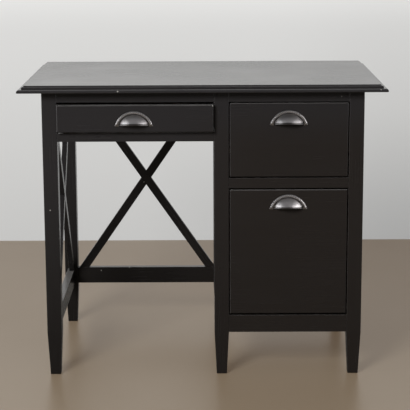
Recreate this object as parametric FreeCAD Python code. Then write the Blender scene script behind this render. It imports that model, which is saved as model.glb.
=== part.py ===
import FreeCAD, Part
import math
import os

Vector = FreeCAD.Vector

# A black single-pedestal writing desk: a moulded desktop on six tapered legs, a pencil drawer over
# the kneehole, two drawers in the pedestal, and X-braces at the back of the kneehole and on its left side.
# Millimetres, +Z up, the front faces -Y, the origin is on the floor under the centre of the desktop.

# Desktop
desk_height = 772.0
top_width = 940.0
top_depth = 606.0
top_thickness = 18.0
top_step_height = 2.8
top_bead_width = 5.5
top_bead_round = 3.0
top_quirk_height = 6.6
top_quirk_width = 5.3
top_ovolo_radius = 6.2
top_under_round = 2.0
top_flat_round = 1.0

# Legs and where they stand under the desktop
leg_side = 38.0
foot_side = 27.0
foot_height = 117.0
leg_round = 1.5
left_overhang = 59.0
right_overhang = 56.5
front_overhang = 35.5
back_overhang = 31.5
pedestal_opening = 308.5
glide_radius = 9.0
glide_thickness = 1.5
glide_pin_radius = 1.5
glide_pin_length = 14.0

# Front rails, from the desktop down
front_rail_thickness = 22.0
top_rail_height = 28.0
pencil_opening_height = 79.5
apron_height = 21.5
upper_opening_height = 197.0
mid_rail_height = 27.0
bottom_rail_height = 46.0
rail_round = 0.8

# Frames with the X-braces
brace_rail_thickness = 20.0
brace_rail_height = 47.3
brace_rail_lift = 1.6
brace_bar_width = 23.4
brace_bar_thickness = 14.0
brace_round = 1.2
back_rising_shift = 4.5
back_falling_shift = 4.0

# Guide strip beside the pencil drawer
side_guide_drop = 15.0
side_guide_lap = 15.0
side_guide_setback = 0.5

# Joinery
tenon_length = 12.0
tenon_thickness = 8.0
tenon_shoulder = 4.0
joint_clearance = 0.2
overrun = 2.0
tolerance = 1e-6

# Panels of the pedestal
panel_thickness = 12.0
panel_recess = 5.0
panel_groove_depth = 6.0
back_panel_thickness = 9.0
bottom_panel_thickness = 9.0
bottom_panel_drop = 6.0
cleat_side = 15.0

# Drawers
pedestal_side_gap = 2.0
pencil_side_gap = 1.0
pencil_level_gap = 4.9
upper_level_gap = 2.5
file_level_gap = 4.0
drawer_front_thickness = 20.0
drawer_front_round = 3.0
drawer_board_thickness = 12.0
drawer_bottom_thickness = 6.0
drawer_bottom_groove = 5.0
drawer_bottom_lift = 8.0
drawer_side_rise = 4.0
drawer_side_drop = 10.0
drawer_side_play = 3.0
pencil_back_clearance = 90.0
pedestal_back_clearance = 65.0
pencil_drawer_ajar = 18.0

# Runners
runner_thickness = 8.0
runner_height = 12.0
runner_clearance = 0.4
runner_stop_gap = 0.3
runner_seat = 20.0
runner_screw_inset = 6.0
runner_screw_sink = 4.8
groove_height_share = 0.35

# Cup pulls
pull_width = 97.5
pull_height = 36.3
pull_plate_thickness = 2.2
pull_rim_width = 6.8
pull_cup_width = 74.0
pull_projection = 24.0
pull_wall = 1.8
pull_drop = 20.5
pencil_pull_drop = 19.3
file_pull_drop = 15.8
pencil_pull_shift = -2.65
pedestal_pull_shift = -0.6
pull_screw_spacing = 64.0
pull_screw_lift = 6.0
pull_boss_radius = 3.8
pull_boss_length = 8.0

# Fasteners
wood_screw_radius = 1.75
wood_screw_length = 22.0
wood_screw_head_radius = 3.5
wood_screw_head_height = 2.4
pull_screw_radius = 2.0
pull_screw_grip = 6.0
pull_screw_head_radius = 3.8
pull_screw_head_height = 2.4
bracket_screw_length = 13.0
bracket_side = 18.0
bracket_width = 22.0
bracket_thickness = 2.0
bracket_inset = 70.0
screw_clearance = 0.15
screw_tip_share = 0.25
screw_head_round_share = 0.35

# Places that several pieces share
half_leg = leg_side / 2
top_underside = desk_height - top_thickness
right_leg_x = top_width / 2 - right_overhang - half_leg
left_leg_x = -top_width / 2 + left_overhang + half_leg
middle_leg_x = right_leg_x - leg_side - pedestal_opening
front_leg_y = -top_depth / 2 + front_overhang + half_leg
back_leg_y = top_depth / 2 - back_overhang - half_leg
front_face_y = front_leg_y - half_leg
front_legs_back_y = front_leg_y + half_leg
back_legs_front_y = back_leg_y - half_leg

knee_left_x = left_leg_x + half_leg
knee_right_x = middle_leg_x - half_leg
pedestal_left_x = middle_leg_x + half_leg
pedestal_right_x = right_leg_x - half_leg

top_rail_z = top_underside - top_rail_height
apron_top_z = top_rail_z - pencil_opening_height
mid_rail_top_z = top_rail_z - upper_opening_height
mid_rail_z = mid_rail_top_z - mid_rail_height
bottom_rail_top_z = foot_height + bottom_rail_height
brace_bottom_z = foot_height + brace_rail_lift + brace_rail_height
brace_top_z = top_underside - brace_rail_height

nodes = {}
leg_cuts = []


def block(low, high):
    """A box between two corners."""
    size = [high[i] - low[i] for i in range(3)]
    return Part.makeBox(size[0], size[1], size[2], Vector(*low))


def grown(low, high, by):
    """The corners of a box that is larger by the same amount on every side."""
    return [v - by for v in low], [v + by for v in high]


def edges_along(edges, direction):
    """Those of some edges that run straight along a direction."""
    chosen = []
    for edge in edges:
        ends = [v.Point for v in edge.Vertexes]
        if len(ends) == 2 and (ends[1] - ends[0]).normalize().cross(direction).Length < tolerance:
            chosen.append(edge)
    return chosen


def edges_at(shape, axis, level):
    """The edges that lie in the plane across an axis at a level."""
    chosen = []
    for edge in shape.Edges:
        bounds = edge.BoundBox
        low = (bounds.XMin, bounds.YMin, bounds.ZMin)[axis]
        high = (bounds.XMax, bounds.YMax, bounds.ZMax)[axis]
        if abs(low - level) < tolerance and abs(high - level) < tolerance:
            chosen.append(edge)
    return chosen


def axis_vector(axis):
    return Vector(*[1.0 if i == axis else 0.0 for i in range(3)])


def rounded_outline(width, depth, radius, centre):
    """A closed rectangle with round corners, level, about a centre."""
    x, y = width / 2, depth / 2
    lean = radius * (1 - math.sqrt(0.5))
    corners = [(1, -1), (1, 1), (-1, 1), (-1, -1)]
    edges = []
    for i, (sx, sy) in enumerate(corners):
        along_y = Vector(sx * x, sy * (y - radius), 0)
        along_x = Vector(sx * (x - radius), sy * y, 0)
        middle = Vector(sx * (x - lean), sy * (y - lean), 0)
        first, last = (along_x, along_y) if sx * sy < 0 else (along_y, along_x)
        edges.append(Part.Arc(centre + first, centre + middle, centre + last).toShape())
        nx, ny = corners[(i + 1) % 4]
        if nx == sx:
            start, end = along_y, Vector(nx * x, ny * (y - radius), 0)
        else:
            start, end = along_x, Vector(nx * (x - radius), ny * y, 0)
        edges.append(Part.LineSegment(centre + start, centre + end).toShape())
    return Part.Wire(edges)


def prism(outline, height):
    return Part.Face(outline).extrude(Vector(0, 0, height))


def desktop():
    """A board with a step, a bead, a quirk and a quarter round on all four edges, mitred at its corners."""
    bead_z = desk_height - top_step_height
    quirk_z = bead_z - top_quirk_height
    half = (top_width / 2, top_depth / 2)
    bead_inset = top_quirk_width + top_ovolo_radius
    flat_inset = bead_inset + top_bead_width

    def stepped(axis, inset, z):
        """The board up to a level, set back from the two edges that run along an axis."""
        reach = [half[i] if i == axis else half[i] - inset for i in range(2)]
        return block((-reach[0], -reach[1], top_underside), (reach[0], reach[1], z))

    def worked(axis):
        """The board with the moulding on the two edges that run along an axis."""
        way = axis_vector(axis)
        slab = stepped(axis, 0, quirk_z)
        slab = slab.makeFillet(top_ovolo_radius, edges_along(edges_at(slab, 2, quirk_z), way))
        slab = slab.makeFillet(top_under_round, edges_along(edges_at(slab, 2, top_underside), way))
        bead = stepped(axis, bead_inset, bead_z)
        bead = bead.makeFillet(top_bead_round, edges_along(edges_at(bead, 2, bead_z), way))
        flat = stepped(axis, flat_inset, desk_height)
        flat = flat.makeFillet(top_flat_round, edges_along(edges_at(flat, 2, desk_height), way))
        return slab.fuse([bead, flat])

    return worked(0).common(worked(1)).removeSplitter()


def leg(x, y):
    """A square leg with eased corners that tapers on all four faces below the rails."""
    foot = rounded_outline(foot_side, foot_side, leg_round, Vector(x, y, glide_thickness))
    knee = rounded_outline(leg_side, leg_side, leg_round, Vector(x, y, foot_height))
    taper = Part.makeLoft([foot, knee], True, True)
    shaft = prism(knee, top_underside - foot_height)
    return taper.fuse(shaft).removeSplitter()


def tenoned_rail(name, low, high, axis):
    """A rail along X or Y with a tenon at each end, and the mortises for it."""
    across = 1 - axis
    body = block(low, high)
    body = body.makeFillet(rail_round, edges_along(body.Edges, axis_vector(axis)))
    middle = (low[across] + high[across]) / 2
    tenon_low, tenon_high = list(low), list(high)
    tenon_low[axis] -= tenon_length
    tenon_high[axis] += tenon_length
    tenon_low[across] = middle - tenon_thickness / 2
    tenon_high[across] = middle + tenon_thickness / 2
    tenon_low[2] += tenon_shoulder
    tenon_high[2] -= tenon_shoulder
    nodes[name] = body.fuse(block(tenon_low, tenon_high))
    leg_cuts.append(block(*grown(tenon_low, tenon_high, joint_clearance)))


def brace_pair(names, start, end, place, thickness_axis, thickness, shifts):
    """Two half-lapped bars from corner to corner of an opening, each shifted along it and trimmed to it."""
    wide, tall = end - start, brace_top_z - brace_bottom_z
    reach = math.sqrt(wide ** 2 + tall ** 2 - brace_bar_width ** 2)
    lean = (wide * tall - brace_bar_width * reach) / (tall ** 2 - brace_bar_width ** 2)
    cut = brace_bar_width * math.sqrt(1 + lean ** 2)

    def slab(depth):
        low, high = [start, start, brace_bottom_z], [end, end, brace_top_z]
        low[thickness_axis] = min(place, place + depth)
        high[thickness_axis] = max(place, place + depth)
        return block(low, high)

    def bar(low_z, high_z, shift):
        corners = [(start, low_z), (start + cut, low_z), (end, high_z), (end - cut, high_z)]
        points = []
        for along, z in corners:
            point = [along + shift, along + shift, z]
            point[thickness_axis] = place
            points.append(Vector(*point))
        face = Part.Face(Part.makePolygon(points + points[:1]))
        square = face.extrude(axis_vector(thickness_axis) * thickness)
        eased = square.makeFillet(brace_round, edges_along(square.Edges, points[3] - points[0]))
        return square, eased.common(slab(thickness))

    rising, rising_eased = bar(brace_bottom_z, brace_top_z, shifts[0])
    falling, falling_eased = bar(brace_top_z, brace_bottom_z, shifts[1])
    lap = rising.common(falling)
    inner_half = lap.common(slab(thickness / 2))
    nodes[names[0]] = rising_eased.cut(inner_half)
    nodes[names[1]] = falling_eased.cut(lap.cut(inner_half))


def grooved_panel(name, low, high, axis):
    """A panel along X or Y whose two ends sit in grooves in the legs."""
    low, high = list(low), list(high)
    low[axis] -= panel_groove_depth
    high[axis] += panel_groove_depth
    nodes[name] = block(low, high)
    groove_low, groove_high = grown(low, high, joint_clearance)
    leg_cuts.append(block(groove_low, groove_high))


def screw(radius, length, head_radius, head_height, head_place, way):
    """A screw whose head sits on head_place and whose shank runs along way."""
    tip = radius
    shank = Part.makeCylinder(radius, length - tip, head_place, way)
    point = Part.makeCone(radius, radius * screw_tip_share, tip, head_place + way * (length - tip), way)
    head = Part.makeCylinder(head_radius, head_height, head_place, way * -1)
    crown = head_place - way * head_height
    rim = [edge for edge in head.Edges if edge.Closed and (edge.CenterOfMass - crown).Length < tolerance]
    head = head.makeFillet(head_height * screw_head_round_share, rim)
    return head.fuse([shank, point]).removeSplitter()


def screw_hole(radius, length, head_place, way):
    return Part.makeCylinder(radius + screw_clearance, length + screw_clearance, head_place, way)


# Legs, with their joints cut later
leg_places = {
    "front_left_leg": (left_leg_x, front_leg_y),
    "front_middle_leg": (middle_leg_x, front_leg_y),
    "front_right_leg": (right_leg_x, front_leg_y),
    "back_left_leg": (left_leg_x, back_leg_y),
    "back_middle_leg": (middle_leg_x, back_leg_y),
    "back_right_leg": (right_leg_x, back_leg_y),
}
nodes["desktop"] = desktop()
for name, (x, y) in leg_places.items():
    nodes[name] = leg(x, y)

# Front rails
front_rails = {
    "pencil_top_rail": (knee_left_x, knee_right_x, top_rail_z, top_underside),
    "pencil_apron_rail": (knee_left_x, knee_right_x, apron_top_z - apron_height, apron_top_z),
    "pedestal_top_rail": (pedestal_left_x, pedestal_right_x, top_rail_z, top_underside),
    "pedestal_mid_rail": (pedestal_left_x, pedestal_right_x, mid_rail_z, mid_rail_top_z),
    "pedestal_bottom_rail": (pedestal_left_x, pedestal_right_x, foot_height, bottom_rail_top_z),
}
rail_back_y = front_face_y + front_rail_thickness
for name, (x0, x1, z0, z1) in front_rails.items():
    tenoned_rail(name, (x0, front_face_y, z0), (x1, rail_back_y, z1), 0)

# Back frame of the kneehole and left side frame, both centred in the legs
brace_levels = {
    "upper": (brace_top_z, top_underside),
    "lower": (brace_bottom_z - brace_rail_height, brace_bottom_z),
}
back_frame_y = back_leg_y - brace_rail_thickness / 2
side_frame_x = left_leg_x + brace_rail_thickness / 2
for level, (z0, z1) in brace_levels.items():
    tenoned_rail("back_" + level + "_rail", (knee_left_x, back_frame_y, z0),
                 (knee_right_x, back_frame_y + brace_rail_thickness, z1), 0)
    tenoned_rail("side_" + level + "_rail", (side_frame_x - brace_rail_thickness, front_legs_back_y, z0),
                 (side_frame_x, back_legs_front_y, z1), 1)
brace_pair(("back_rising_brace", "back_falling_brace"), knee_left_x, knee_right_x,
           back_frame_y, 1, brace_bar_thickness, (back_rising_shift, back_falling_shift))
brace_pair(("side_rising_brace", "side_falling_brace"), front_legs_back_y, back_legs_front_y,
           side_frame_x, 0, -brace_bar_thickness, (0, 0))

# Guide strip for the pencil drawer, glued to the inside of the left upper rail and nearly flush with the legs
guide_low = (side_frame_x, front_legs_back_y, brace_top_z - side_guide_drop)
guide_high = (knee_left_x - side_guide_setback, back_legs_front_y, brace_top_z + side_guide_lap)
nodes["side_guide_rail"] = block(guide_low, guide_high)

# Pedestal panels
left_panel_x = middle_leg_x - panel_thickness / 2
right_panel_x = right_leg_x + half_leg - panel_recess - panel_thickness
back_panel_y = back_leg_y + half_leg - panel_recess - back_panel_thickness
for name, x0 in (("pedestal_left_panel", left_panel_x), ("pedestal_right_panel", right_panel_x)):
    grooved_panel(name, (x0, front_legs_back_y, foot_height),
                  (x0 + panel_thickness, back_legs_front_y, top_underside), 1)
grooved_panel("pedestal_back_panel", (pedestal_left_x, back_panel_y, foot_height),
              (pedestal_right_x, back_panel_y + back_panel_thickness, top_underside), 0)

# Bottom panel of the pedestal, notched round the legs, on a cleat at each side
bottom_panel_top_z = bottom_rail_top_z - bottom_panel_drop
bottom_panel_z = bottom_panel_top_z - bottom_panel_thickness
bottom_panel = block((left_panel_x + panel_thickness, rail_back_y, bottom_panel_z),
                     (right_panel_x, back_panel_y, bottom_panel_top_z))
for name, (x, y) in leg_places.items():
    leg_low = (x - half_leg, y - half_leg, bottom_panel_z)
    leg_high = (x + half_leg, y + half_leg, bottom_panel_top_z)
    bottom_panel = bottom_panel.cut(block(*grown(leg_low, leg_high, joint_clearance)))
nodes["pedestal_bottom_panel"] = bottom_panel
cleat_places = (("pedestal_left_cleat", left_panel_x + panel_thickness),
                ("pedestal_right_cleat", right_panel_x - cleat_side))
for name, x0 in cleat_places:
    nodes[name] = block((x0, front_legs_back_y, bottom_panel_z - cleat_side),
                        (x0 + cleat_side, back_legs_front_y, bottom_panel_z))

# Glides, each on a pin in its foot
glides = []
for x, y in leg_places.values():
    disc = Part.makeCylinder(glide_radius, glide_thickness, Vector(x, y, 0))
    pin = Part.makeCylinder(glide_pin_radius, glide_thickness + glide_pin_length, Vector(x, y, 0))
    glides.append(disc.fuse(pin).removeSplitter())
    leg_cuts.append(Part.makeCylinder(glide_pin_radius + screw_clearance, glide_pin_length + screw_clearance,
                                      Vector(x, y, glide_thickness)))
nodes["foot_glides"] = Part.makeCompound(glides)


def cup_pull(x, y, z):
    """A cup pull on a face at y, its lower edge at z: an arched rim, a hollow cup and two bosses."""
    rise = pull_height
    rim_radius = ((pull_width / 2) ** 2 + rise ** 2) / (2 * rise)
    left, right = Vector(x - pull_width / 2, y, z), Vector(x + pull_width / 2, y, z)
    crown = Vector(x, y, z + rise)
    arch = Part.Wire([Part.Arc(left, crown, right).toShape(), Part.LineSegment(right, left).toShape()])
    plate = Part.Face(arch).extrude(Vector(0, -pull_plate_thickness, 0))

    def cup(width, projection, height):
        scale = FreeCAD.Matrix()
        scale.scale(width / 2, projection, height)
        ball = Part.makeSphere(1.0).transformGeometry(scale)
        ball.translate(Vector(x, y, z))
        return ball

    cup_height = pull_height - pull_rim_width
    outer = cup(pull_cup_width, pull_projection, cup_height)
    inner = cup(pull_cup_width - 2 * pull_wall, pull_projection - pull_wall, cup_height - pull_wall)
    keep = block((x - rim_radius, y - pull_projection - overrun, z), (x + rim_radius, y, z + rise))
    bosses = []
    for place in pull_screw_places(x, z):
        foot = Vector(place[0], y, place[1])
        bosses.append(Part.makeCylinder(pull_boss_radius, pull_boss_length, foot, Vector(0, -1, 0)))
    shell = plate.fuse(outer.common(keep)).cut(inner)
    shell = shell.fuse(bosses)
    for place in pull_screw_places(x, z):
        foot = Vector(place[0], y, place[1])
        shell = shell.cut(screw_hole(pull_screw_radius, pull_screw_grip, foot, Vector(0, -1, 0)))
    return shell.removeSplitter()


def pull_screw_places(x, z):
    return [(x + side * pull_screw_spacing / 2, z + pull_screw_lift) for side in (-1, 1)]


def drawer(prefix, x0, x1, z0, z1, gaps, closed_end_y, drop, shift, out):
    """A drawer in the opening x0 to x1, z0 to z1, pulled out by a distance, and its two runners."""
    side_gap, level_gap = gaps
    pull_x = (x0 + x1) / 2 + shift
    face_y = front_face_y - out
    box_y = face_y + drawer_front_thickness
    end_y = closed_end_y - out
    low_z, high_z = z0 + level_gap + drawer_side_rise, z1 - level_gap - drawer_side_drop
    left_x, right_x = x0 + drawer_side_play, x1 - drawer_side_play
    bottom_z = low_z + drawer_bottom_lift
    groove_z = low_z + (high_z - low_z) * groove_height_share

    front = block((x0 + side_gap, face_y, z0 + level_gap), (x1 - side_gap, box_y, z1 - level_gap))
    front = front.makeFillet(drawer_front_round, edges_at(front, 1, face_y))
    sides = {
        "left": block((left_x, box_y, low_z), (left_x + drawer_board_thickness, end_y, high_z)),
        "right": block((right_x - drawer_board_thickness, box_y, low_z), (right_x, end_y, high_z)),
    }
    inner_left, inner_right = left_x + drawer_board_thickness, right_x - drawer_board_thickness
    bottom_top_z = bottom_z + drawer_bottom_thickness
    back = block((inner_left, end_y - drawer_board_thickness, bottom_top_z), (inner_right, end_y, high_z))
    bottom_low = (inner_left - drawer_bottom_groove, box_y - drawer_bottom_groove, bottom_z)
    bottom_high = (inner_right + drawer_bottom_groove, end_y, bottom_top_z)
    bottom_slot = block(*grown(bottom_low, bottom_high, joint_clearance))
    nodes[prefix + "_bottom"] = block(bottom_low, bottom_high)
    nodes[prefix + "_back"] = back.cut(bottom_slot)

    runner_low_z, runner_high_z = groove_z - runner_height / 2, groove_z + runner_height / 2
    runner_y = front_face_y + drawer_front_thickness + runner_stop_gap
    runner_end_y = back_legs_front_y + runner_seat
    for side, wall_x, inward in (("left", x0, 1), ("right", x1, -1)):
        reach = wall_x + inward * runner_thickness
        low = (min(wall_x, reach), runner_y, runner_low_z)
        high = (max(wall_x, reach), runner_end_y, runner_high_z)
        channel_low, channel_high = grown(low, high, runner_clearance)
        channel_low[1], channel_high[1] = box_y - overrun, end_y + overrun
        nodes[prefix + "_" + side] = sides[side].cut(bottom_slot).cut(block(channel_low, channel_high))
        runner = block(low, high)
        way = Vector(-inward, 0, 0)
        for y in (runner_y + runner_screw_inset, runner_end_y - runner_screw_inset):
            head = Vector(reach - inward * runner_screw_sink, y, groove_z)
            sink_radius = wood_screw_head_radius + screw_clearance
            sink = Part.makeCylinder(sink_radius, runner_thickness, head, way * -1)
            hole = screw_hole(wood_screw_radius, wood_screw_length, head, way)
            runner = runner.cut(sink).cut(hole)
            runner_screws.append(screw(wood_screw_radius, wood_screw_length, wood_screw_head_radius,
                                       wood_screw_head_height, head, way))
            leg_cuts.append(hole)
        nodes[prefix + "_" + side + "_runner"] = runner

    pull_z = z1 - drop - pull_height
    front = front.cut(bottom_slot)
    pull_screws = []
    for x, z in pull_screw_places(pull_x, pull_z):
        head = Vector(x, box_y, z)
        way = Vector(0, -1, 0)
        length = drawer_front_thickness + pull_screw_grip
        front = front.cut(screw_hole(pull_screw_radius, drawer_front_thickness, head, way))
        pull_screws.append(screw(pull_screw_radius, length, pull_screw_head_radius,
                                 pull_screw_head_height, head, way))
    nodes[prefix + "_front"] = front
    nodes[prefix + "_pull"] = cup_pull(pull_x, face_y, pull_z)
    nodes[prefix + "_pull_screws"] = Part.makeCompound(pull_screws)


runner_screws = []
drawer("pencil_drawer", knee_left_x, knee_right_x, apron_top_z, top_rail_z,
       (pencil_side_gap, pencil_level_gap), back_frame_y - pencil_back_clearance, pencil_pull_drop,
       pencil_pull_shift, pencil_drawer_ajar)
drawer("upper_drawer", pedestal_left_x, pedestal_right_x, mid_rail_top_z, top_rail_z,
       (pedestal_side_gap, upper_level_gap), back_panel_y - pedestal_back_clearance, pull_drop,
       pedestal_pull_shift, 0)
drawer("file_drawer", pedestal_left_x, pedestal_right_x, bottom_rail_top_z, mid_rail_z,
       (pedestal_side_gap, file_level_gap), back_panel_y - pedestal_back_clearance, file_pull_drop,
       pedestal_pull_shift, 0)
nodes["runner_screws"] = Part.makeCompound(runner_screws)


def bracket(place, outward):
    """A steel angle in the corner under the desktop at place, its upright against the face behind it."""
    side = Vector(0, 0, 1).cross(outward)
    half = side * (bracket_width / 2)
    outline = [(0, 0), (bracket_side, 0), (bracket_side, bracket_thickness),
               (bracket_thickness, bracket_thickness), (bracket_thickness, bracket_side), (0, bracket_side)]
    points = [place - half + outward * out - Vector(0, 0, down) for out, down in outline]
    angle = Part.Face(Part.makePolygon(points + points[:1])).extrude(half * 2)
    flange = (bracket_side + bracket_thickness) / 2
    heads = [(place + outward * flange - Vector(0, 0, bracket_thickness), Vector(0, 0, 1)),
             (place + outward * bracket_thickness - Vector(0, 0, flange), outward * -1)]
    return angle, heads


# Angle brackets that hold the desktop to the frame, and the pieces that their screws enter
brackets = []
bracket_screws = []
bracket_places = []
for x in (knee_left_x + bracket_inset, knee_right_x - bracket_inset):
    bracket_places.append((Vector(x, rail_back_y, top_underside), Vector(0, 1, 0), "pencil_top_rail"))
    bracket_places.append((Vector(x, back_frame_y, top_underside), Vector(0, -1, 0), "back_upper_rail"))
for x in (pedestal_left_x + bracket_inset, pedestal_right_x - bracket_inset):
    bracket_places.append((Vector(x, rail_back_y, top_underside), Vector(0, 1, 0), "pedestal_top_rail"))
bracket_places.append((Vector(side_frame_x, 0, top_underside), Vector(1, 0, 0), "side_upper_rail"))
bracket_places.append((Vector(right_panel_x, 0, top_underside), Vector(-1, 0, 0), "pedestal_right_panel"))
for place, outward, carrier in bracket_places:
    angle, heads = bracket(place, outward)
    for head, way in heads:
        hole = screw_hole(wood_screw_radius, bracket_screw_length, head, way)
        angle = angle.cut(hole)
        nodes["desktop"] = nodes["desktop"].cut(hole)
        nodes[carrier] = nodes[carrier].cut(hole)
        bracket_screws.append(screw(wood_screw_radius, bracket_screw_length, wood_screw_head_radius,
                                    wood_screw_head_height, head, way))
    brackets.append(angle)
nodes["top_brackets"] = Part.makeCompound(brackets)
nodes["top_bracket_screws"] = Part.makeCompound(bracket_screws)

# Mortises, grooves and screw holes in the legs
for name in leg_places:
    for cutter in leg_cuts:
        if nodes[name].BoundBox.intersect(cutter.BoundBox):
            nodes[name] = nodes[name].cut(cutter)

os.makedirs("parts", exist_ok=True)
for name, shape in nodes.items():
    shape.exportStep(os.path.join("parts", name + ".step"))
    print(name, "solids", len(shape.Solids), "volume", round(shape.Volume), "valid", shape.isValid())
print(len(nodes), "nodes")
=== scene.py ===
# %% [markdown]
# # A black writing desk with cup pulls
# The desk is a moulded top on six tapered legs, with a pencil drawer over the kneehole, two drawers in the
# pedestal, and X-braces behind the knees and on the left side. A measured model of every board is already
# there, so this lesson loads it, paints each board, models the three metal pulls with their rope rims, and
# sets up a plain studio. Boards that are right stay as they are: only what a saw and a router can't make is
# modelled here.

# %% Load the measured desk
import math

import bmesh
import bpy
from mathutils import Matrix, Vector


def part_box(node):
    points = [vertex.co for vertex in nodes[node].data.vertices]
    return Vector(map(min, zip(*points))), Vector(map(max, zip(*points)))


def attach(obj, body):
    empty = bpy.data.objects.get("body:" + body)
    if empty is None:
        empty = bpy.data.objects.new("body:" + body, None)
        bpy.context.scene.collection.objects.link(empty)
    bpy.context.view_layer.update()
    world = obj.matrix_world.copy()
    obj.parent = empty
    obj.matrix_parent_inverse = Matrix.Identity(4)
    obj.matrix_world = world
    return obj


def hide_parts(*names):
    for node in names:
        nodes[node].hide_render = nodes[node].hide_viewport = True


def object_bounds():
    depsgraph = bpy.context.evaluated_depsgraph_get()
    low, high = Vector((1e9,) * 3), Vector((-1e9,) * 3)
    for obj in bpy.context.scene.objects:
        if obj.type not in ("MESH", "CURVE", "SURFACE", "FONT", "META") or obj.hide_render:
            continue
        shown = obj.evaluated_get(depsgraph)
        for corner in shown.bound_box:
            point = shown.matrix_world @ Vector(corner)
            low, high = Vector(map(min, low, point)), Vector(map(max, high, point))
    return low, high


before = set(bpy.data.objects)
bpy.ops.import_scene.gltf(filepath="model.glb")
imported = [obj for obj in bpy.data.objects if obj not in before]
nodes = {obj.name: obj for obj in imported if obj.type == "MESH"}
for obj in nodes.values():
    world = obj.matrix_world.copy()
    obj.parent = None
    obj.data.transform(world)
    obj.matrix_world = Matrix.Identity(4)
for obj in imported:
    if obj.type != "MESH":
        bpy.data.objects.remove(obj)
cad_low, cad_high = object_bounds()
desk_size = cad_high - cad_low
print("boards and fittings:", len(nodes), "desk size in metres:", [round(v, 3) for v in desk_size])

# %% [markdown]
# ## A short way to write materials
# A finish is a small sum: so much grain, so much wear, a chip here. Wiring that by hand takes dozens of boxes
# and is hard to read afterwards. So one class wraps a socket and lets plus, minus and times add the Math
# nodes, and one method adds any other node. The finishes below then read like the sums that they are.

# %% Sockets that take part in sums


class Wire:
    """One output socket. Python's operators on it add Math nodes."""

    def __init__(self, shader, socket):
        self.shader = shader
        self.socket = socket

    def __add__(self, other):
        return self.shader.math("ADD", self, other)

    def __sub__(self, other):
        return self.shader.math("SUBTRACT", self, other)

    def __rsub__(self, other):
        return self.shader.math("SUBTRACT", other, self)

    def __mul__(self, other):
        return self.shader.math("MULTIPLY", self, other)

    __radd__ = __add__
    __rmul__ = __mul__


class Shader:
    """The node tree of one finish, written as calls."""

    def __init__(self, tree):
        self.tree = tree

    def node(self, kind, settings=None, sockets=None, out=0):
        """Adds a node: its settings first, then the values or links of its sockets."""
        made = self.tree.nodes.new(kind)
        for name, value in (settings or {}).items():
            setattr(made, name, value)
        for name, value in (sockets or {}).items():
            if isinstance(value, Wire):
                self.tree.links.new(value.socket, made.inputs[name])
            else:
                made.inputs[name].default_value = value
        return Wire(self, made.outputs[out]) if made.outputs else None

    def math(self, operation, *values):
        return self.node("ShaderNodeMath", {"operation": operation}, dict(enumerate(values)))

    def smooth(self, value, low, high):
        """0 below low, 1 above high, and a soft step between them."""
        return self.node("ShaderNodeMapRange", {"interpolation_type": "SMOOTHSTEP"},
                         {"Value": value, "From Min": low, "From Max": high})

    def mix(self, first, second, share):
        """A colour between two colours."""
        return self.node("ShaderNodeMix", {"data_type": "RGBA"}, {0: share, 6: first, 7: second}, 2)

    def place(self):
        """Where a point is on the desk, in metres."""
        return self.node("ShaderNodeTexCoord", out="Object")

    def along(self, place, turn, stretch):
        """Places turned so that X runs along the grain, and pressed together along it."""
        return self.node("ShaderNodeMapping", {"vector_type": "TEXTURE"},
                         {"Vector": place, "Rotation": turn, "Scale": (stretch, 1, 1)})

    def noise(self, place, scale, detail):
        return self.node("ShaderNodeTexNoise", None, {"Vector": place, "Scale": scale, "Detail": detail})

    def axis(self, vector, name):
        """One part of a vector: X, Y or Z."""
        return self.node("ShaderNodeSeparateXYZ", None, {"Vector": vector}, name)

    def normal(self):
        return self.node("ShaderNodeNewGeometry", out="Normal")

    def eased(self, radius):
        """The normal of a board whose corners are rounded by a radius."""
        return self.node("ShaderNodeBevel", {"samples": 6}, {"Radius": radius})

    def corner(self):
        """1 on the rounded corners of a square board, whose normals lie along no axis, and 0 on its flats."""
        level = [self.math("ABSOLUTE", self.axis(self.normal(), name)) for name in "XYZ"]
        return self.smooth(1 - self.math("MAXIMUM", self.math("MAXIMUM", *level[:2]), level[2]), 0.02, 0.14)

    def open_share(self, reach, only_local):
        """1 in the open and near 0 in a crevice, looking only so far round a point."""
        return self.node("ShaderNodeAmbientOcclusion", {"samples": 8, "only_local": only_local},
                         {"Distance": reach}, "AO")

    def spot(self, place, centre, radius, ragged):
        """1 inside a small patch with a ragged edge and 0 outside it."""
        away = self.node("ShaderNodeVectorMath", {"operation": "DISTANCE"}, {0: place, 1: centre}, "Value")
        return 1 - self.smooth(away + ragged * radius, radius, 1.35 * radius)

    def bump(self, height, depth, normal):
        return self.node("ShaderNodeBump", None, {"Height": height, "Distance": depth, "Normal": normal})


def new_finish(name):
    """An empty material and the shader that fills it."""
    material = bpy.data.materials.new(name)
    material.use_nodes = True
    material.node_tree.nodes.clear()
    return material, Shader(material.node_tree)


def surface(shader, sockets):
    """The surface at the end of a finish."""
    bsdf = shader.node("ShaderNodeBsdfPrincipled", None, sockets)
    shader.node("ShaderNodeOutputMaterial", None, {"Surface": bsdf})


print("operators on a socket:", [name for name in vars(Wire) if name.startswith("__") and name != "__init__"])
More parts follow.
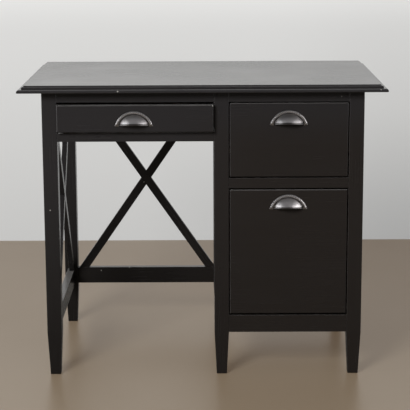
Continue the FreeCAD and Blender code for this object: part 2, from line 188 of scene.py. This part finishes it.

# %% [markdown]
# ## Black satin lacquer
# The desk is sprayed wood. Four things tell the eye so: streaks of grain that just show through the film, a
# gloss that is never quite even, edges rubbed a little paler by hands and chairs, and a trace of dust on
# everything that faces up. A picture texture could hold them, but it would stretch on long boards. So the
# grain is a noise pressed along each board, the gloss is that noise and a broader one on the roughness, and
# dust lies where the normal points up. Most boards are square, so a normal along no axis is a rounded corner.
# Only the corners that face up and to the left, towards the key, and not sideways, turn pale, so that
# paleness is painted highlight as well as wear. Painted shade makes the black darker towards the floor and in
# crevices, where no dust or pale corner shows, and below the top painted warm light turns the black a little
# brown on the right.

# %% Lacquer
grain_stretch = 26.0
# The low colour below is painted shade, near the floor and in crevices.
lacquer_shaded_low = (0.0120, 0.0105, 0.0100, 1)
lacquer_high = (0.0290, 0.0275, 0.0295, 1)
lacquer_faded = (0.0340, 0.0320, 0.0310, 1)
# The brown below is painted warm light, on the right below the top.
lacquer_warm_light = (0.0230, 0.0185, 0.0160, 1)
# The pale corner tone below is wear and painted highlight at once.
lacquer_rub_and_highlight = (0.095, 0.090, 0.090, 1)
dust_grey = (0.230, 0.226, 0.224, 1)
chip_pale = (0.50, 0.48, 0.45, 1)
ease_radius = 0.0015
crevice_reach = 0.006
film_depth = 0.00005


def black_lacquer(name, turn, gloss=1.36, dust=1.0, rub_and_light=1.0, chips=()):
    """Satin black on a board whose grain runs along X once it is turned. A chip is a place and a radius."""
    material, shader = new_finish(name)
    place = shader.place()
    grain = shader.along(place, turn, grain_stretch)
    streaks = shader.noise(grain, 190, 5)
    broad = shader.noise(grain, 22, 3)
    cloud = shader.noise(place, 6, 4)
    speck = shader.noise(place, 900, 2)
    # Ambient occlusion marks painted shade: crevices keep the dark colour and get no dust or pale corners.
    out_of_shade = shader.smooth(shader.open_share(crevice_reach, False), 0.35, 0.75)
    normal = shader.normal()
    to_right = shader.axis(normal, "X")
    # Pale corners: wear in patches, and painted highlight, since only corners that face up and to the left,
    # towards the key, and not sideways get it.
    lit_side = shader.smooth(shader.axis(normal, "Z") - to_right, 0.0, 0.6)
    not_sideways = 1 - shader.smooth(shader.math("ABSOLUTE", to_right), 0.45, 0.7)
    worn = shader.smooth(cloud + 0.4 * streaks, 0.30, 0.76) * out_of_shade * rub_and_light
    rubbed_and_lit = shader.corner() * lit_side * not_sideways * worn
    faces_up = shader.smooth(shader.axis(normal, "Z"), 0.65, 0.95)
    dusty = faces_up * (0.45 + 0.7 * cloud) * out_of_shade * dust
    # Painted shade: the black is darker towards the floor and in crevices.
    unshaded_height_share = shader.smooth(shader.axis(place, "Z"), 0.0, 0.70)
    colour = shader.mix(lacquer_shaded_low, lacquer_high, unshaded_height_share * out_of_shade)
    # Painted warm light: below the top the right side turns a little brown.
    warm_light_side = shader.smooth(shader.axis(place, "X"), -0.10, 0.15)
    warm_light_tint = warm_light_side * (1 - shader.smooth(shader.axis(place, "Z"), 0.60, 0.74))
    colour = shader.mix(colour, lacquer_warm_light, 0.8 * warm_light_tint)
    colour = shader.mix(colour, lacquer_faded, 0.5 * broad * streaks)
    colour = shader.mix(colour, lacquer_rub_and_highlight, rubbed_and_lit)
    colour = shader.mix(colour, dust_grey, dusty)
    height = 0.55 * streaks + 0.2 * speck
    for centre, radius in chips:
        chip = shader.spot(place, centre, radius, speck - 0.5)
        colour = shader.mix(colour, chip_pale, 0.8 * chip)
        height = height - 1.5 * chip
    uneven = 0.19 + 0.10 * cloud + 0.05 * streaks - 0.04 * rubbed_and_lit
    surface(shader, {"Base Color": colour, "Roughness": uneven, "IOR": gloss,
                     "Normal": shader.bump(height, film_depth, shader.eased(ease_radius))})
    return material


def bar_turn(name, rise, sideways):
    """The turn that lays a leaning bar's grain along X: a bar rises or falls, across or front to back."""
    low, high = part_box(name)
    run = high.y - low.y if sideways else high.x - low.x
    lean = math.atan2(high.z - low.z, run) * rise
    return (0, -lean, math.pi / 2 if sideways else 0)


def dress(material, names):
    """Gives boards of the measured desk a finish."""
    for name in names:
        mesh = nodes[name].data
        mesh.materials.clear()
        mesh.materials.append(material)
    print(material.name, "on", len(names))


across = (0, 0, 0)
front_to_back = (0, 0, math.pi / 2)
upright = (0, math.pi / 2, 0)

# %% [markdown]
# ### Which way the boards run
# A joiner cuts legs and panels with the grain upright, rails and drawer fronts with the grain along them, and
# each X-brace has its own lean. So each group of boards gets the same lacquer, turned its own way. The few
# pale chips sit where the desk has been knocked: on the moulding, the rails, a leg, a brace and the corner of
# the pencil drawer.

# %% Lacquer on every board
rails_deep = [name for name in nodes if name.endswith("_rail") and name.startswith("side_")]
rails_back = [name for name in nodes if name.endswith("_rail") and name.startswith("back_")]
rails_front = [name for name in nodes if name.endswith("_rail") and name not in rails_deep + rails_back]
legs = [name for name in nodes if name.endswith("_leg")]
panels = [name for name in nodes if name.endswith("_panel")]
fronts = [name for name in nodes if name.endswith("_front")]

top_chips = [((-0.2135, -0.3027, 0.7587), 0.0016), ((-0.0415, -0.3025, 0.7610), 0.0009),
             ((0.4505, -0.3020, 0.7604), 0.0013)]
rail_chips = [((-0.2205, 0.2435, 0.1660), 0.0018), ((-0.3045, 0.2425, 0.1564), 0.0012),
              ((0.3545, -0.2675, 0.7390), 0.0009)]
leg_chips = [((-0.3951, -0.2675, 0.4460), 0.0013)]
brace_chips = [((-0.1746, 0.2425, 0.4230), 0.0012)]
front_chips = [((0.0262, -0.2850, 0.7186), 0.0014)]

dress(black_lacquer("lacquer_top", across, gloss=1.54, dust=0.04, rub_and_light=0.0, chips=top_chips), ["desktop"])
dress(black_lacquer("lacquer_front_rails", across, dust=0.1, chips=rail_chips), rails_front)
dress(black_lacquer("lacquer_back_rails", across, chips=rail_chips), rails_back)
dress(black_lacquer("lacquer_side_rails", front_to_back, dust=1.6), rails_deep)
dress(black_lacquer("lacquer_legs", upright, chips=leg_chips), legs)
dress(black_lacquer("lacquer_panels", upright), panels)
dress(black_lacquer("lacquer_fronts", across, chips=front_chips), fronts)
for name, rise, sideways in (("back_rising_brace", 1, False), ("back_falling_brace", -1, False),
                             ("side_rising_brace", 1, True), ("side_falling_brace", -1, True)):
    chips = brace_chips if name == "back_rising_brace" else ()
    dress(black_lacquer("lacquer_" + name, bar_turn(name, rise, sideways), rub_and_light=0.0, chips=chips), [name])

# %% [markdown]
# ## Bare wood inside the drawers
# The drawer boxes, the runners and the cleats are pale softwood under a thin matt varnish, and the drawer
# bottoms are plywood. Both need growth rings and fibres. A Wave texture bent by noise gives rings that drift
# along the board, and a fine noise gives the fibres. Ends and faces then come out of the same solid pattern.
# What faces down is painted dark as shade, so no pale wood shows in the gaps under the drawers.

# %% Wood and plywood
wood_pale = (0.60, 0.44, 0.28, 1)
wood_dark = (0.42, 0.27, 0.15, 1)
ply_pale = (0.63, 0.49, 0.33, 1)
ply_dark = (0.50, 0.35, 0.21, 1)
# The underside colour below is painted shade on what faces down.
underside_shade = (0.030, 0.024, 0.020, 1)
wood_stretch = 14.0
wood_depth = 0.0002


def bare_wood(name, turn, pale, dark, rings_per_metre):
    """Varnished wood whose grain runs along X once it is turned."""
    material, shader = new_finish(name)
    place = shader.place()
    grain = shader.along(place, turn, wood_stretch)
    rings = shader.node("ShaderNodeTexWave", {"bands_direction": "DIAGONAL", "wave_profile": "SAW"},
                        {"Vector": grain, "Scale": rings_per_metre, "Distortion": 5.0, "Detail": 3.0,
                         "Detail Scale": 1.4}, "Fac")
    fibre = shader.noise(grain, 420, 4)
    stain = shader.noise(place, 9, 3)
    colour = shader.mix(pale, dark, 0.45 * rings + 0.3 * fibre + 0.25 * stain - 0.1)
    # Painted shade: what faces down turns dark.
    faces_down = shader.smooth(0 - shader.axis(shader.normal(), "Z"), 0.5, 0.9)
    colour = shader.mix(colour, underside_shade, faces_down * (0.75 + 0.25 * stain))
    surface(shader, {"Base Color": colour, "Roughness": 0.52 + 0.16 * fibre,
                     "Normal": shader.bump(0.5 * rings + 0.5 * fibre, wood_depth, shader.normal())})
    return material


drawers = ("pencil_drawer", "upper_drawer", "file_drawer")
sides = [drawer + side for drawer in drawers for side in ("_left", "_right")]
runners = [name for name in nodes if name.endswith("_runner")]
cleats = [name for name in nodes if name.endswith("_cleat")]
dress(bare_wood("drawer_wood_deep", front_to_back, wood_pale, wood_dark, 26), sides + runners + cleats)
backs = [drawer + "_back" for drawer in drawers]
bottoms = [drawer + "_bottom" for drawer in drawers]
dress(bare_wood("drawer_wood_across", across, wood_pale, wood_dark, 26), backs)
dress(bare_wood("drawer_plywood", across, ply_pale, ply_dark, 9), bottoms)

# %% [markdown]
# ## Fittings out of sight
# Screws and angle brackets are zinc plated, which breaks up into small crystals of slightly different grey.
# A Voronoi texture is that pattern. The glides under the feet are moulded plastic with a fine matt skin.

# %% Zinc and glides
zinc_pale = (0.66, 0.65, 0.62, 1)
zinc_dark = (0.48, 0.47, 0.45, 1)
glide_black = (0.045, 0.045, 0.045, 1)
glide_worn = (0.085, 0.082, 0.078, 1)
skin_depth = 0.0001


def zinc_plate(name):
    """Zinc in small crystals, each with its own grey and gloss."""
    material, shader = new_finish(name)
    place = shader.place()
    crystal = shader.node("ShaderNodeTexVoronoi", None, {"Vector": place, "Scale": 700.0}, "Color")
    tone = shader.node("ShaderNodeSeparateColor", None, {"Color": crystal})
    surface(shader, {"Base Color": shader.mix(zinc_pale, zinc_dark, tone), "Metallic": 1.0,
                     "Roughness": 0.32 + 0.14 * tone})
    return material


def moulded_glide(name):
    """Black plastic with a fine skin, scuffed by the floor."""
    material, shader = new_finish(name)
    place = shader.place()
    skin = shader.noise(place, 1800, 2)
    scuff = shader.noise(place, 160, 3)
    surface(shader, {"Base Color": shader.mix(glide_black, glide_worn, scuff), "Roughness": 0.5 + 0.2 * scuff,
                     "Normal": shader.bump(skin, skin_depth, shader.normal())})
    return material


dress(zinc_plate("zinc_plate"), [name for name in nodes if name.endswith("_screws")] + ["top_brackets"])
dress(moulded_glide("glide_plastic"), ["foot_glides"])

# %% [markdown]
# ## Aged pewter
# The pulls are plated metal, buffed bright on the high places and dark where polish never reaches. Ambient
# occlusion that looks only a few millimetres away finds those hollows, so the corners beside the cup darken
# by themselves, and a faint brushing keeps the bright parts from looking like chrome. Four finishes share
# these sums: the cup's own, a brighter one for the rope, which is buffing and painted highlight at once, a
# dark one for the lip, which is painted shade, and one between for the plate.

# %% Pewter
pewter_bright = (0.69, 0.675, 0.680, 1)
pewter_dull = (0.52, 0.505, 0.510, 1)
# The rope's brighter colour below is buffing and painted highlight at once.
pewter_buffed_lit = (0.88, 0.86, 0.865, 1)
pewter_tarnish = (0.030, 0.028, 0.027, 1)
hollow_reach = 0.004
groove_reach = 0.0015
brush_stretch = 12.0
brush_depth = 0.00004


def aged_pewter(name, bright, tarnish_share, reach=hollow_reach, metal_share=1.0):
    """Plated metal, darker in its hollows and all over by a share."""
    material, shader = new_finish(name)
    place = shader.place()
    brushed = shader.noise(shader.along(place, across, brush_stretch), 900, 3)
    patches = shader.noise(place, 70, 3)
    hollow = 1 - shader.smooth(shader.open_share(reach, True), 0.40, 0.85)
    colour = shader.mix(bright, pewter_dull, 0.7 * patches + 0.3 * brushed)
    colour = shader.mix(colour, pewter_tarnish, shader.math("MAXIMUM", 0.9 * hollow, tarnish_share))
    surface(shader, {"Base Color": colour, "Metallic": metal_share,
                     "Roughness": 0.34 + 0.08 * patches + 0.05 * brushed + 0.15 * hollow,
                     "Normal": shader.bump(brushed, brush_depth, shader.normal())})
    return material


pewter = aged_pewter("aged_pewter", pewter_bright, 0.0)
# The rope's brighter finish is buffing and painted highlight at once.
lit_rope_pewter = aged_pewter("buffed_lit_rope", pewter_buffed_lit, 0.0, groove_reach, 0.85)
# The lip's dark finish is painted shade.
shaded_lip_pewter = aged_pewter("shaded_lip", pewter_bright, 0.8)
cove_pewter = aged_pewter("tarnished_cove", pewter_bright, 0.45)
print("pewter finishes:", [made.name for made in (pewter, lit_rope_pewter, shaded_lip_pewter, cove_pewter)])

# %% [markdown]
# ## The cup pull
# A cup pull is cast in one piece: a thin arched plate with two rounded ears below, a rope round its rim, a
# hollow half dome with a rolled lip for the fingers, and two bosses that take the screws from inside the
# drawer. Each has its own easy start: a disc for the plate, a ring drawn out with a twist for the rope, a
# ball for the cup. They are made once at the origin, joined, and then copied to the three drawers. The
# measured pull gives the outer sizes.

# %% Sizes of the pull
pull_low, pull_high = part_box("upper_drawer_pull")
pull_width = pull_high.x - pull_low.x
pull_height = pull_high.z - pull_low.z
pull_reach = pull_high.y - pull_low.y
rim_radius = ((pull_width / 2) ** 2 + pull_height ** 2) / (2 * pull_height)
rim_centre_z = pull_height - rim_radius
rope_radius = 0.0031
rope_setback = 0.0008
rope_strands = 3
rope_lobe_length = 0.0050
plate_thickness = 0.0022
plate_round = 0.0006
cup_width = 0.080
cup_height = 0.0288
cup_wall = 0.0016
lip_height = 0.0006
lip_rise = 0.0042
ear_drop = 0.0035
ear_round = 0.0060
boss_spacing = 0.064
boss_lift = 0.006
boss_radius = 0.0038
boss_length = 0.0035
boss_round = 0.0006
print("pull in mm:", [round(1000 * v, 1) for v in (pull_width, pull_reach, pull_height)])

# %% [markdown]
# ### Four helpers
# Blender's tools work on what is selected and active, as a hand tool works on what is in the vice. So one
# helper adds a start shape with nothing else selected, one picks the points or edges that pass a test, one
# adds a modifier and applies it, and one gives a piece its finish.

# %% Helpers for modelling


def add(primitive, **sizes):
    """Adds a primitive with nothing else selected, and puts its place and turn into its mesh."""
    bpy.ops.object.select_all(action="DESELECT")
    primitive(**sizes)
    made = bpy.context.active_object
    bpy.ops.object.transform_apply(location=True, rotation=True, scale=True)
    return made


def pick(kind, test):
    """In edit mode, selects just the vertices, edges or faces that pass a test."""
    bpy.ops.mesh.select_mode(type=kind)
    bpy.ops.mesh.select_all(action="DESELECT")
    mesh = bmesh.from_edit_mesh(bpy.context.edit_object.data)
    chosen = [part for part in {"VERT": mesh.verts, "EDGE": mesh.edges}[kind] if test(part)]
    for part in chosen:
        part.select_set(True)
    mesh.select_flush_mode()
    bmesh.update_edit_mesh(bpy.context.edit_object.data)
    return len(chosen)


def modify(piece, kind, **settings):
    """Adds a modifier and applies it at once."""
    modifier = piece.modifiers.new(kind, kind)
    for name, value in settings.items():
        setattr(modifier, name, value)
    bpy.context.view_layer.objects.active = piece
    bpy.ops.object.modifier_apply(modifier=modifier.name)


def give(piece, material):
    piece.data.materials.clear()
    piece.data.materials.append(material)


hair = 1e-6
print("a hair's breadth is", hair, "m")

# %% [markdown]
# ### The arched plate
# The plate is the part of a thin disc above a straight cut. The cut leaves two sharp corners, which the real
# casting has as rounded ears, and the front edge is eased so that it catches a line of light. A ball is cut
# out of the plate behind the cup, so that fingers find a hollow there.

# %% The arched plate


def along_y(edge):
    """True for an edge that runs front to back."""
    return abs(edge.verts[0].co.y - edge.verts[1].co.y) > hair


plate = add(bpy.ops.mesh.primitive_cylinder_add, vertices=180, radius=rim_radius - plate_round,
            depth=plate_thickness, location=(0, -plate_thickness / 2, rim_centre_z),
            rotation=(math.pi / 2, 0, 0))
bpy.ops.object.mode_set(mode="EDIT")
bpy.ops.mesh.select_all(action="SELECT")
bpy.ops.mesh.bisect(plane_co=(0, 0, -ear_drop), plane_no=(0, 0, 1), use_fill=True, clear_inner=True)
corners = pick("EDGE", lambda e: all(abs(v.co.z + ear_drop) < hair for v in e.verts) and along_y(e))
bpy.ops.mesh.bevel(offset=ear_round, segments=10, affect="EDGES")
front_edges = pick("EDGE", lambda e: all(abs(v.co.y + plate_thickness) < hair for v in e.verts))
bpy.ops.mesh.bevel(offset=plate_round, segments=3, affect="EDGES")
bpy.ops.object.mode_set(mode="OBJECT")
hollow = add(bpy.ops.mesh.primitive_uv_sphere_add, segments=96, ring_count=48, radius=1.0,
             scale=(cup_width / 2 - cup_wall, pull_reach - cup_wall, cup_height - 2 * cup_wall))
modify(plate, "BOOLEAN", operation="DIFFERENCE", solver="EXACT", object=hollow)
bpy.data.objects.remove(hollow)
give(plate, cove_pewter)
print("plate: rounded", corners, "corners, eased", front_edges, "edges")

# %% [markdown]
# ### The rope rim
# A rope is strands that wind round each other. Seen end on it is a ring with as many dents as strands, so a
# circle with its dents pressed in, drawn along with a twist by the Screw modifier, is a rope. It is made
# straight because twisting is easy on a straight line, and bent to the rim's arc afterwards. While it is
# straight, a short sum also tells which faces lie in a groove, and those get the plate's darker finish.

# %% The rope
rope_ring_points = 8 * rope_strands
rope_arc_radius = rim_radius - rope_radius - rope_setback
rope_end_z = 0.002
rope_half_angle = math.acos((rope_end_z - rim_centre_z) / rope_arc_radius)
rope_length = 2 * rope_half_angle * rope_arc_radius
rope_turns = round(rope_length / rope_lobe_length) / rope_strands
rope_steps = 300


def in_dent(vertex):
    """True near the lines between two strands."""
    turn = math.degrees(math.atan2(vertex.co.z, vertex.co.y)) % (360 / rope_strands)
    return min(turn, 360 / rope_strands - turn) < 200 / rope_ring_points


def groove_share(place):
    """1 on the line between two strands of the straight rope and 0 on the crown of a strand."""
    twist = rope_turns * (place.x / rope_length + 0.5)
    lobe = (math.atan2(place.z, place.y) / math.tau - twist) * rope_strands % 1
    return abs(2 * lobe - 1)


rope = add(bpy.ops.mesh.primitive_circle_add, vertices=rope_ring_points, radius=rope_radius,
           location=(-rope_length / 2, 0, 0), rotation=(0, math.pi / 2, 0))
bpy.ops.object.mode_set(mode="EDIT")
dents = pick("VERT", in_dent)
bpy.ops.transform.resize(value=(1, 0.50, 0.50), center_override=(-rope_length / 2, 0, 0))
bpy.ops.object.mode_set(mode="OBJECT")
modify(rope, "SCREW", axis="X", angle=2 * math.pi * rope_turns, screw_offset=rope_length, steps=rope_steps,
       render_steps=rope_steps)
bpy.ops.object.mode_set(mode="EDIT")
bpy.ops.mesh.select_all(action="SELECT")
bpy.ops.mesh.fill_holes(sides=0)
bpy.ops.mesh.select_all(action="SELECT")
bpy.ops.mesh.normals_make_consistent(inside=False)
bpy.ops.object.mode_set(mode="OBJECT")
give(rope, lit_rope_pewter)
rope.data.materials.append(cove_pewter)
for face in rope.data.polygons:
    face.material_index = 1 if groove_share(face.center) > 0.75 else 0
depths = [[math.hypot(f.center.y, f.center.z) for f in rope.data.polygons if f.material_index == i]
          for i in (0, 1)]
print("mean radius of crowns and grooves:", [round(1000 * sum(d) / len(d), 2) for d in depths], "mm")
modify(rope, "SIMPLE_DEFORM", deform_method="BEND", deform_axis="Z", angle=2 * rope_half_angle)
rope.rotation_euler.x = -math.pi / 2
rope.location = (0, -rope_radius, pull_height - rope_radius - rope_setback)
bpy.ops.object.transform_apply(location=True, rotation=True, scale=True)
rope_low = [round(1000 * min(v.co[i] for v in rope.data.vertices), 1) for i in range(3)]
rope_high = [round(1000 * max(v.co[i] for v in rope.data.vertices), 1) for i in range(3)]
print("rope: dents", dents, "turns", round(rope_turns, 2), "from", rope_low, "to", rope_high, "mm")

# %% [markdown]
# ### The cup
# The cup is the front of an egg whose middle lies behind the plate: a ball stretched to size, cut off at the
# plate, and cut again below along a plane that rises towards the front, so that the lip does too. That edge
# is rolled for the fingers, which is four short extrusions of it, each a little wider or narrower than the
# last. One more cut marks off a narrow band above the lip, which with the lip is painted dark as shade.
# Solidify then gives the skin its thickness, and the skin stays hollow, as a casting is.

# %% The cup
egg_sink = 0.007
egg_behind_share = 0.75
cup_reach = 0.0235
lip_band = 0.0018
lip_steps = ((1.025, 0.0003), (1.008, 0.0012), (0.995, 0.0012), (0.970, 0.0006))
lip_growth = lip_steps[0][0] * lip_steps[1][0]
egg_height = (cup_height + egg_sink) / math.sqrt(1 - egg_behind_share ** 2)
end_share = math.sqrt(1 - ((lip_height + egg_sink) / egg_height) ** 2)
front_share = math.sqrt(1 - ((lip_height + lip_rise + egg_sink) / egg_height) ** 2)
egg_depth = cup_reach / lip_growth / (front_share - egg_behind_share)
egg_width = cup_width / 2 / lip_growth / math.sqrt(end_share ** 2 - egg_behind_share ** 2)
lip_slope = lip_rise / cup_reach


def lip_level(place):
    """How far a place is above the plane where the lip begins, which rises towards the front."""
    return place.z - lip_height + place.y * lip_slope


cup = add(bpy.ops.mesh.primitive_uv_sphere_add, segments=128, ring_count=64, radius=1.0,
          location=(0, egg_behind_share * egg_depth, -egg_sink), scale=(egg_width, egg_depth, egg_height))
bpy.ops.object.mode_set(mode="EDIT")
bpy.ops.mesh.select_all(action="SELECT")
bpy.ops.mesh.bisect(plane_co=(0, 0, 0), plane_no=(0, 1, 0), clear_outer=True)
bpy.ops.mesh.select_all(action="SELECT")
bpy.ops.mesh.bisect(plane_co=(0, 0, lip_height), plane_no=(0, lip_slope, 1), clear_inner=True)
bpy.ops.mesh.select_all(action="SELECT")
bpy.ops.mesh.bisect(plane_co=(0, 0, lip_height + lip_band), plane_no=(0, lip_slope, 1))
lip_edges = pick("EDGE", lambda e: all(abs(lip_level(v.co)) < hair for v in e.verts) and e.is_boundary)
for growth, drop in lip_steps:
    bpy.ops.mesh.extrude_edges_move(TRANSFORM_OT_translate={"value": (0, 0, -drop)})
    bpy.ops.transform.resize(value=(growth, growth, 1), center_override=(0, 0, 0))
bpy.ops.mesh.select_all(action="SELECT")
bpy.ops.mesh.remove_doubles(threshold=hair)
bpy.ops.mesh.normals_make_consistent(inside=False)
bpy.ops.object.mode_set(mode="OBJECT")
modify(cup, "SOLIDIFY", thickness=cup_wall, offset=-1.0)
give(cup, pewter)
cup.data.materials.append(shaded_lip_pewter)
# Painted shade: the lip and the band above it get the dark finish.
for face in cup.data.polygons:
    face.material_index = 1 if lip_level(face.center) < lip_band else 0
print("cup: lip of", lip_edges, "edges,", len(cup.data.polygons), "faces")

# %% [markdown]
# ### One pull, three drawers
# Two short round bosses take the screws. Then plate, rope, cup and bosses are joined, as a casting is one
# piece, and shaded smooth except at sharp edges. Each drawer gets a copy with a mesh of its own, put where
# the measured pull was, and the copy rides on that drawer.

# %% Bosses, and one pull out of the pieces
parts = [plate, rope, cup]
for side in (-1, 1):
    boss = add(bpy.ops.mesh.primitive_cylinder_add, vertices=32, radius=boss_radius, depth=boss_length,
               location=(side * boss_spacing / 2, -boss_length / 2, boss_lift), rotation=(math.pi / 2, 0, 0))
    modify(boss, "BEVEL", width=boss_round, segments=2)
    give(boss, pewter)
    parts.append(boss)
bpy.ops.object.select_all(action="DESELECT")
for part in parts:
    part.select_set(True)
bpy.context.view_layer.objects.active = plate
bpy.ops.object.join()
bpy.ops.object.shade_smooth_by_angle(angle=math.radians(40))
print("one pull:", len(plate.data.polygons), "faces")

# %% A pull for each drawer
for drawer in drawers:
    low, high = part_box(drawer + "_pull")
    pull = bpy.data.objects.new(drawer + "_cup_pull", plate.data.copy())
    pull.data.transform(Matrix.Translation(((low.x + high.x) / 2, high.y, low.z)))
    bpy.context.collection.objects.link(pull)
    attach(pull, drawer)
    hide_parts(drawer + "_pull")
    print(pull.name, "at", [round(v, 4) for v in low])
bpy.data.objects.remove(plate)

# %% [markdown]
# ## The studio
# The desk stands on a plain pale floor before a plain pale wall. The wall matters more than it seems: seen at
# a low angle the black top is a mirror for it, which is why a black desktop looks grey in a photograph. The
# wall has only a front, so that the desk can be looked at from behind.

# %% Floor and wall
floor_pale = (0.270, 0.227, 0.171, 1)
floor_patch = (0.250, 0.210, 0.159, 1)
floor_lift = (0.090, 0.061, 0.037, 1)
wall_pale = (0.21, 0.21, 0.207, 1)
wall_patch = (0.19, 0.19, 0.187, 1)
wall_y = 1.309
studio_width = 30.0


def floor_paint(name):
    """Pale paint with a trace of unevenness and a dull gloss, lifted a little where the camera sees it."""
    material, shader = new_finish(name)
    uneven = shader.noise(shader.place(), 2.5, 4)
    seen = shader.node("ShaderNodeLightPath", out="Is Camera Ray")
    colour = shader.mix(floor_pale, floor_patch, uneven)
    lift = shader.mix((0, 0, 0, 1), floor_lift, seen)
    surface(shader, {"Base Color": colour, "Roughness": 0.28 + 0.1 * uneven, "Emission Color": lift,
                     "Emission Strength": 1.0})
    return material


def wall_paint(name):
    """Pale paint with a painted glow, shaded low on the right and brighter above, that can't be seen from
    behind.
    """
    material, shader = new_finish(name)
    place = shader.place()
    uneven = shader.noise(place, 2.5, 4)
    rise = shader.axis(place, "Z")
    across_wall = shader.axis(place, "X")
    # Painted light: the glow shows only to the camera and in mirrors, with a painted shadow low on the right.
    shaded = shader.smooth(across_wall, 0.15, 0.75) * (0.105 - 0.085 * rise)
    # Above the picture the wall only shows as a mirror image in the desktop, brighter on the left.
    shaded = shaded + 0.22 * across_wall * shader.smooth(rise, 0.90, 1.05)
    glow = 0.450 + 0.165 * rise - shaded + 1.08 * shader.smooth(rise, 0.75, 1.6)
    path = [shader.node("ShaderNodeLightPath", out=kind) for kind in ("Is Camera Ray", "Is Glossy Ray")]
    seen = path[0] + path[1]
    front = shader.node("ShaderNodeBsdfPrincipled", None,
                        {"Base Color": shader.mix(wall_pale, wall_patch, uneven), "Roughness": 0.7,
                         "Emission Color": shader.mix((0, 0, 0, 1), (1, 1, 0.985, 1), glow * seen),
                         "Emission Strength": 1.0})
    behind = shader.node("ShaderNodeNewGeometry", out="Backfacing")
    clear = shader.node("ShaderNodeBsdfTransparent")
    both = shader.node("ShaderNodeMixShader", None, {0: behind, 1: front, 2: clear})
    shader.node("ShaderNodeOutputMaterial", None, {"Surface": both})
    return material


floor = add(bpy.ops.mesh.primitive_plane_add, size=studio_width)
give(floor, floor_paint("pale_floor"))
wall = add(bpy.ops.mesh.primitive_plane_add, size=studio_width, location=(0, wall_y, studio_width / 2),
           rotation=(math.pi / 2, 0, 0))
give(wall, wall_paint("pale_wall"))
floor.name = "floor"
wall.name = "wall"
print("wall faces", [round(v, 2) for v in wall.data.polygons[0].normal])

# %% [markdown]
# ### Light
# A black satin desk shows mostly what it mirrors, so the mirror images and the light are set apart. One soft
# key, high on the left in front, lights the desk and casts its shadows, and is kept out of the mirror images.
# Two wide panels, one on each side, are only mirrored: they draw the two bright patches on every cup. The
# room itself is dim straight ahead, as a studio is behind the camera, which keeps the fronts black, and it is
# a little brighter to the sides and above.

# %% Lamps
aim = Vector((0, 0, 0.45))


def lamp(name, place, width, height, radiance, colour):
    """A soft rectangular lamp that faces the desk. Its power follows from how bright it should look."""
    bpy.ops.object.light_add(type="AREA", location=place)
    made = bpy.context.active_object
    made.name = name
    made.data.shape = "RECTANGLE"
    made.data.size = width
    made.data.size_y = height
    made.data.energy = radiance * math.pi * width * height
    made.data.color = colour
    made.rotation_euler = (aim - Vector(place)).to_track_quat("-Z", "Y").to_euler()
    made.visible_camera = False
    print(name, "lamp of", round(made.data.energy, 1), "W")
    return made


key = lamp("key", place=(-2.0, -4.2, 2.8), width=1.5, height=1.5, radiance=22.5, colour=(1.0, 0.985, 0.96))
key.visible_glossy = False
left_panel = lamp("left_panel", place=(-2.35, -0.45, 1.1), width=2.4, height=1.9, radiance=2.4,
                  colour=(0.98, 0.99, 1.0))
right_panel = lamp("right_panel", place=(2.2, -0.95, 1.1), width=2.4, height=1.5, radiance=2.5,
                   colour=(1.0, 0.97, 0.96))
left_panel.visible_diffuse = False
right_panel.visible_diffuse = False

# %% The dim room
room_dim = (0.105, 0.104, 0.110, 1)
room_side = (0.240, 0.238, 0.245, 1)
room_above = (0.24, 0.235, 0.235, 1)
room = bpy.data.worlds.new("room")
room.use_nodes = True
room.node_tree.nodes.clear()
sky = Shader(room.node_tree)
towards = sky.node("ShaderNodeTexCoord", out="Generated")
sideways = sky.math("ABSOLUTE", sky.axis(towards, "X"))
tone = sky.mix(room_dim, room_side, sky.smooth(sideways, 0.2, 0.9))
tone = sky.mix(tone, room_above, sky.smooth(sky.axis(towards, "Z"), 0.35, 0.95))
glow = sky.node("ShaderNodeBackground", None, {"Color": tone, "Strength": 1.0})
sky.node("ShaderNodeOutputWorld", None, {"Surface": glow})
bpy.context.scene.world = room
bpy.context.scene.view_settings.view_transform = "Standard"
print("room of", len(room.node_tree.nodes), "nodes")

# %% [markdown]
# ## The camera
# A photographer stood back with a long lens, a little above the desktop. The lens, the height and the small
# tilts were measured on the photograph's straight edges, so the picture frames the desk in the same way.

# %% Camera
image_px = 410
focal_px = 1456.98
camera_place = Vector((0.01343, -3.95470, 1.22127))
camera_pitch = math.radians(11.6864)
camera_yaw = math.radians(0.1258)
camera_roll = math.radians(-0.2590)
right = Vector((math.cos(camera_yaw), math.sin(camera_yaw), 0))
ahead = Vector((-math.sin(camera_yaw) * math.cos(camera_pitch), math.cos(camera_yaw) * math.cos(camera_pitch),
                -math.sin(camera_pitch)))
up = right.cross(ahead)
rolled_right = right * math.cos(camera_roll) + up * math.sin(camera_roll)
rolled_up = up * math.cos(camera_roll) - right * math.sin(camera_roll)
turned = Matrix((rolled_right, rolled_up, -ahead)).transposed().to_4x4()
bpy.ops.object.camera_add()
camera = bpy.context.active_object
camera.matrix_world = Matrix.Translation(camera_place) @ turned
camera.data.sensor_width = 36.0
camera.data.lens = camera.data.sensor_width * focal_px / image_px
camera.data.clip_end = 100.0
bpy.context.scene.camera = camera
print("lens", round(camera.data.lens, 1), "mm")

# %% [markdown]
# The pieces made here may not make the desk larger than it was measured.
